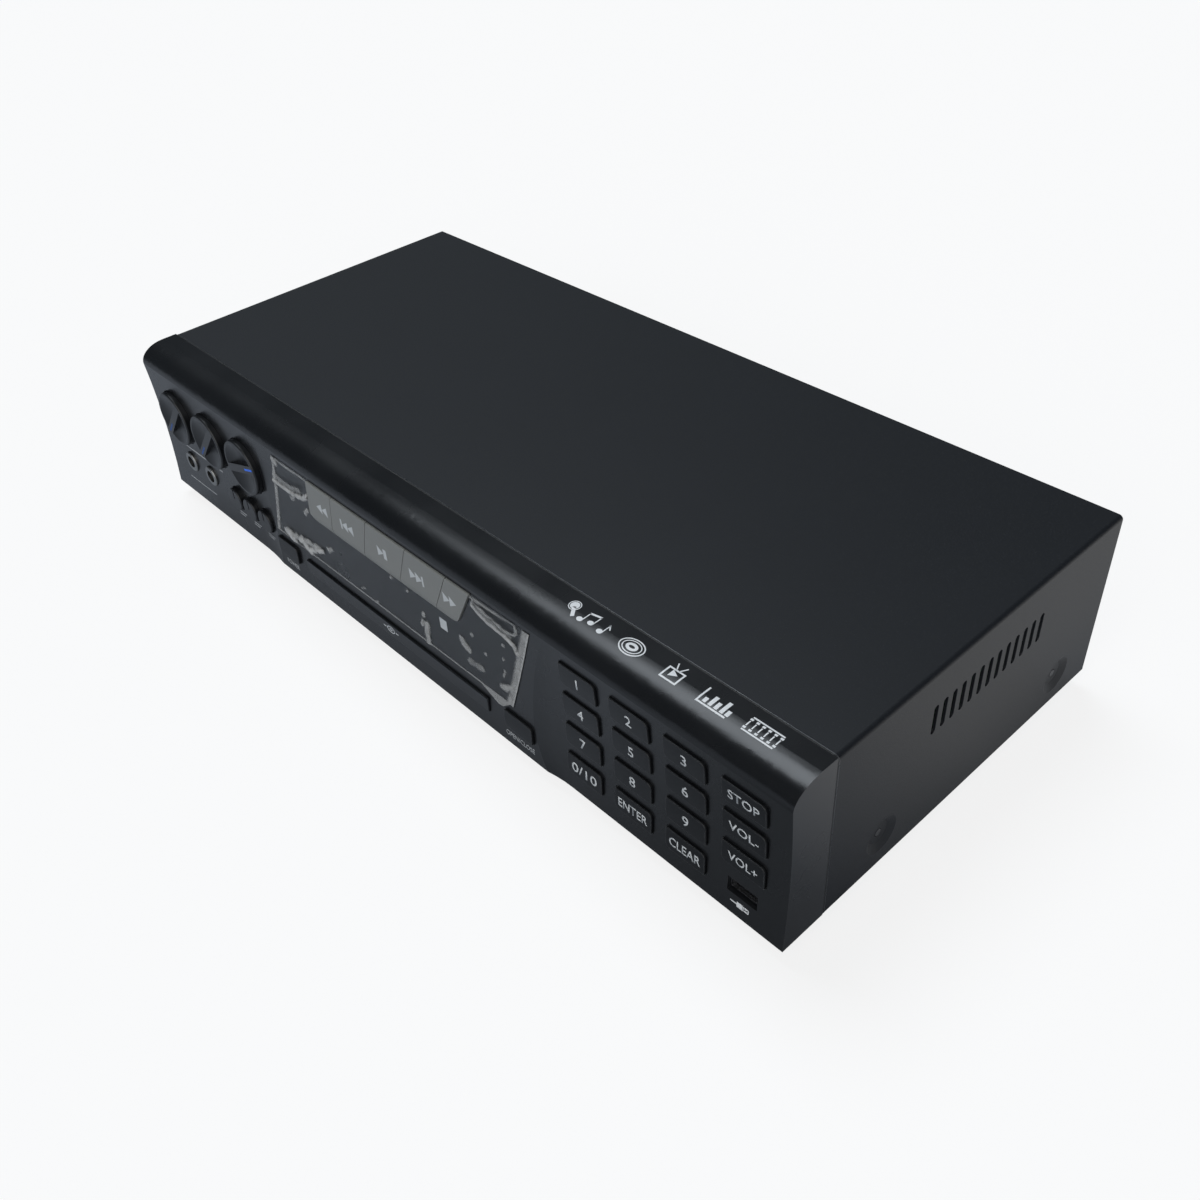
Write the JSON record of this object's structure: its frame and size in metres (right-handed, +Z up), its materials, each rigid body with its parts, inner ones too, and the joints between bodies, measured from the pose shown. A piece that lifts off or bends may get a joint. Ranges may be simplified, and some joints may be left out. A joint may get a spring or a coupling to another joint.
{
  "type": "karaoke machine with disc tray",
  "caption": "Low, wide disc player with a motor-driven tray, turning knobs, plug-in microphones, transport keys and a number keypad on a curved front.",
  "frame": {"origin": "middle of the footprint's bounding box, on the surface that the feet stand on", "axes": "+X to the machine's left-to-right as seen from the front, +Y from the front to the back, +Z up; the front faces -Y"},
  "size_m": [0.43, 0.2044, 0.0868],
  "materials": {
    "fascia": "glossy black moulding",
    "window": "smoked clear acrylic",
    "film": "thin clear film",
    "key_plastic": "satin black moulding",
    "strip_plastic": "satin grey moulding",
    "knob_plastic": "satin black moulding",
    "cover_paint": "fine-grained black powder coat",
    "chassis_steel": "zinc-plated sheet",
    "screw_steel": "blackened steel",
    "foot_rubber": "matt black",
    "socket_metal": "nickel plate",
    "bright_metal": "bright steel",
    "circuit_board": "green laminate",
    "switch_plastic": "black moulding",
    "display_face": "dark digit block",
    "tray_plastic": "satin dark grey moulding",
    "loader_plastic": "black moulding",
    "pickup_metal": "die-cast",
    "gear_plastic": "white moulding",
    "belt_rubber": "square belt",
    "core_steel": "laminated core and winding"
  },
  "bodies": {
    "housing": {"front_fascia": "fascia", "display_window": "window", "protective_film": "film", "microphone_sockets": "socket_metal", "usb_socket": "bright_metal", "control_board": "circuit_board", "tact_switches": "switch_plastic", "display_module": "display_face", "microphone_board": "circuit_board", "potentiometers": "bright_metal", "loader_frame": "loader_plastic", "drive_belt": "belt_rubber", "loader_motor": "bright_metal", "base_chassis": "chassis_steel", "rear_panel": "cover_paint", "top_cover": "cover_paint", "feet": "foot_rubber", "screws": "screw_steel", "av_sockets": "socket_metal", "mains_inlet": "switch_plastic", "main_board": "circuit_board", "power_board": "circuit_board", "transformer": "core_steel"},
    "tray": {"disc_tray": "tray_plastic", "tray_front": "fascia"},
    "drive_gear": {"drive_gear": "gear_plastic"},
    "motor_pulley": {"motor_pulley": "gear_plastic"},
    "deck": {"loader_deck": "loader_plastic", "pickup_rods": "bright_metal"},
    "turntable": {"turntable": "loader_plastic"},
    "pickup": {"pickup": "pickup_metal"},
    "disc_clamp": {"disc_clamp": "switch_plastic"},
    "key_1": {"key_1": "key_plastic"},
    "key_2": {"key_2": "key_plastic"},
    "key_3": {"key_3": "key_plastic"},
    "key_stop": {"key_stop": "key_plastic"},
    "key_4": {"key_4": "key_plastic"},
    "key_5": {"key_5": "key_plastic"},
    "key_6": {"key_6": "key_plastic"},
    "key_volume_down": {"key_volume_down": "key_plastic"},
    "key_7": {"key_7": "key_plastic"},
    "key_8": {"key_8": "key_plastic"},
    "key_9": {"key_9": "key_plastic"},
    "key_volume_up": {"key_volume_up": "key_plastic"},
    "key_zero": {"key_zero": "key_plastic"},
    "key_enter": {"key_enter": "key_plastic"},
    "key_clear": {"key_clear": "key_plastic"},
    "key_rewind": {"key_rewind": "strip_plastic"},
    "key_previous": {"key_previous": "strip_plastic"},
    "key_play": {"key_play": "strip_plastic"},
    "key_next": {"key_next": "strip_plastic"},
    "key_forward": {"key_forward": "strip_plastic"},
    "power_button": {"power_button": "key_plastic"},
    "open_close_button": {"open_close_button": "key_plastic"},
    "large_knob_left": {"large_knob_left": "knob_plastic"},
    "large_knob_middle": {"large_knob_middle": "knob_plastic"},
    "large_knob_right": {"large_knob_right": "knob_plastic"},
    "small_knob_left": {"small_knob_left": "knob_plastic"},
    "small_knob_middle": {"small_knob_middle": "knob_plastic"},
    "small_knob_right": {"small_knob_right": "knob_plastic"}
  },
  "joints": [
    {"name": "tray_slide", "type": "slide", "parent": "housing", "child": "tray", "axis": [0, -1, 0], "range_m": [0, 0.13]},
    {"name": "gear_turn", "type": "hinge", "parent": "housing", "child": "drive_gear", "pos_m": [0.0692, -0.06385, 0.013], "axis": [0, 0, 1], "continuous": true},
    {"name": "pulley_turn", "type": "hinge", "parent": "housing", "child": "motor_pulley", "pos_m": [0.0735, -0.02985, 0.013], "axis": [0, 0, 1], "continuous": true},
    {"name": "deck_lift", "type": "slide", "parent": "housing", "child": "deck", "axis": [0, 0, 1], "range_m": [0, 0.0035]},
    {"name": "disc_spin", "type": "hinge", "parent": "deck", "child": "turntable", "pos_m": [-0.009, -0.02785, 0.015], "axis": [0, 0, 1], "continuous": true},
    {"name": "pickup_travel", "type": "slide", "parent": "deck", "child": "pickup", "axis": [0, 1, 0], "range_m": [0, 0.03]},
    {"name": "clamp_spin", "type": "hinge", "parent": "housing", "child": "disc_clamp", "pos_m": [-0.009, -0.02785, 0.032], "axis": [0, 0, 1], "continuous": true},
    {"name": "key_1_press", "type": "slide", "parent": "housing", "child": "key_1", "axis": [0, 1, 0], "range_m": [0, 0.0005], "stiffness_N_per_m": 1200, "springref_m": -0.0008},
    {"name": "key_2_press", "type": "slide", "parent": "housing", "child": "key_2", "axis": [0, 1, 0], "range_m": [0, 0.0005], "stiffness_N_per_m": 1200, "springref_m": -0.0008},
    {"name": "key_3_press", "type": "slide", "parent": "housing", "child": "key_3", "axis": [0, 1, 0], "range_m": [0, 0.0005], "stiffness_N_per_m": 1200, "springref_m": -0.0008},
    {"name": "key_stop_press", "type": "slide", "parent": "housing", "child": "key_stop", "axis": [0, 1, 0], "range_m": [0, 0.0005], "stiffness_N_per_m": 1200, "springref_m": -0.0008},
    {"name": "key_4_press", "type": "slide", "parent": "housing", "child": "key_4", "axis": [0, 1, 0], "range_m": [0, 0.0005], "stiffness_N_per_m": 1200, "springref_m": -0.0008},
    {"name": "key_5_press", "type": "slide", "parent": "housing", "child": "key_5", "axis": [0, 1, 0], "range_m": [0, 0.0005], "stiffness_N_per_m": 1200, "springref_m": -0.0008},
    {"name": "key_6_press", "type": "slide", "parent": "housing", "child": "key_6", "axis": [0, 1, 0], "range_m": [0, 0.0005], "stiffness_N_per_m": 1200, "springref_m": -0.0008},
    {"name": "key_volume_down_press", "type": "slide", "parent": "housing", "child": "key_volume_down", "axis": [0, 1, 0], "range_m": [0, 0.0005], "stiffness_N_per_m": 1200, "springref_m": -0.0008},
    {"name": "key_7_press", "type": "slide", "parent": "housing", "child": "key_7", "axis": [0, 1, 0], "range_m": [0, 0.0005], "stiffness_N_per_m": 1200, "springref_m": -0.0008},
    {"name": "key_8_press", "type": "slide", "parent": "housing", "child": "key_8", "axis": [0, 1, 0], "range_m": [0, 0.0005], "stiffness_N_per_m": 1200, "springref_m": -0.0008},
    {"name": "key_9_press", "type": "slide", "parent": "housing", "child": "key_9", "axis": [0, 1, 0], "range_m": [0, 0.0005], "stiffness_N_per_m": 1200, "springref_m": -0.0008},
    {"name": "key_volume_up_press", "type": "slide", "parent": "housing", "child": "key_volume_up", "axis": [0, 1, 0], "range_m": [0, 0.0005], "stiffness_N_per_m": 1200, "springref_m": -0.0008},
    {"name": "key_zero_press", "type": "slide", "parent": "housing", "child": "key_zero", "axis": [0, 1, 0], "range_m": [0, 0.0005], "stiffness_N_per_m": 1200, "springref_m": -0.0008},
    {"name": "key_enter_press", "type": "slide", "parent": "housing", "child": "key_enter", "axis": [0, 1, 0], "range_m": [0, 0.0005], "stiffness_N_per_m": 1200, "springref_m": -0.0008},
    {"name": "key_clear_press", "type": "slide", "parent": "housing", "child": "key_clear", "axis": [0, 1, 0], "range_m": [0, 0.0005], "stiffness_N_per_m": 1200, "springref_m": -0.0008},
    {"name": "key_rewind_press", "type": "slide", "parent": "housing", "child": "key_rewind", "axis": [0, 1, 0], "range_m": [0, 0.0005], "stiffness_N_per_m": 1200, "springref_m": -0.0008},
    {"name": "key_previous_press", "type": "slide", "parent": "housing", "child": "key_previous", "axis": [0, 1, 0], "range_m": [0, 0.0005], "stiffness_N_per_m": 1200, "springref_m": -0.0008},
    {"name": "key_play_press", "type": "slide", "parent": "housing", "child": "key_play", "axis": [0, 1, 0], "range_m": [0, 0.0005], "stiffness_N_per_m": 1200, "springref_m": -0.0008},
    {"name": "key_next_press", "type": "slide", "parent": "housing", "child": "key_next", "axis": [0, 1, 0], "range_m": [0, 0.0005], "stiffness_N_per_m": 1200, "springref_m": -0.0008},
    {"name": "key_forward_press", "type": "slide", "parent": "housing", "child": "key_forward", "axis": [0, 1, 0], "range_m": [0, 0.0005], "stiffness_N_per_m": 1200, "springref_m": -0.0008},
    {"name": "power_button_press", "type": "slide", "parent": "housing", "child": "power_button", "axis": [0, 1, 0], "range_m": [0, 0.0005], "stiffness_N_per_m": 1200, "springref_m": -0.0008},
    {"name": "open_close_button_press", "type": "slide", "parent": "housing", "child": "open_close_button", "axis": [0, 1, 0], "range_m": [0, 0.0005], "stiffness_N_per_m": 1200, "springref_m": -0.0008},
    {"name": "large_knob_left_turn", "type": "hinge", "parent": "housing", "child": "large_knob_left", "pos_m": [-0.1915, -0.09985, 0.0552], "axis": [0, -1, 0], "range_deg": [-288, 12]},
    {"name": "large_knob_middle_turn", "type": "hinge", "parent": "housing", "child": "large_knob_middle", "pos_m": [-0.1575, -0.09985, 0.0552], "axis": [0, -1, 0], "range_deg": [-288, 12]},
    {"name": "large_knob_right_turn", "type": "hinge", "parent": "housing", "child": "large_knob_right", "pos_m": [-0.1235, -0.09985, 0.0552], "axis": [0, -1, 0], "range_deg": [-78, 222]},
    {"name": "small_knob_left_turn", "type": "hinge", "parent": "housing", "child": "small_knob_left", "pos_m": [-0.1437, -0.09985, 0.0272], "axis": [0, -1, 0], "range_deg": [-150, 150]},
    {"name": "small_knob_middle_turn", "type": "hinge", "parent": "housing", "child": "small_knob_middle", "pos_m": [-0.12935, -0.09985, 0.0272], "axis": [0, -1, 0], "range_deg": [-150, 150]},
    {"name": "small_knob_right_turn", "type": "hinge", "parent": "housing", "child": "small_knob_right", "pos_m": [-0.115, -0.09985, 0.0272], "axis": [0, -1, 0], "range_deg": [-150, 150]}
  ],
  "couplings": [
    {"joint": "gear_turn", "follows": "tray_slide", "rad_per_m": 83.333},
    {"joint": "pulley_turn", "follows": "tray_slide", "rad_per_m": 220.32}
  ]
}
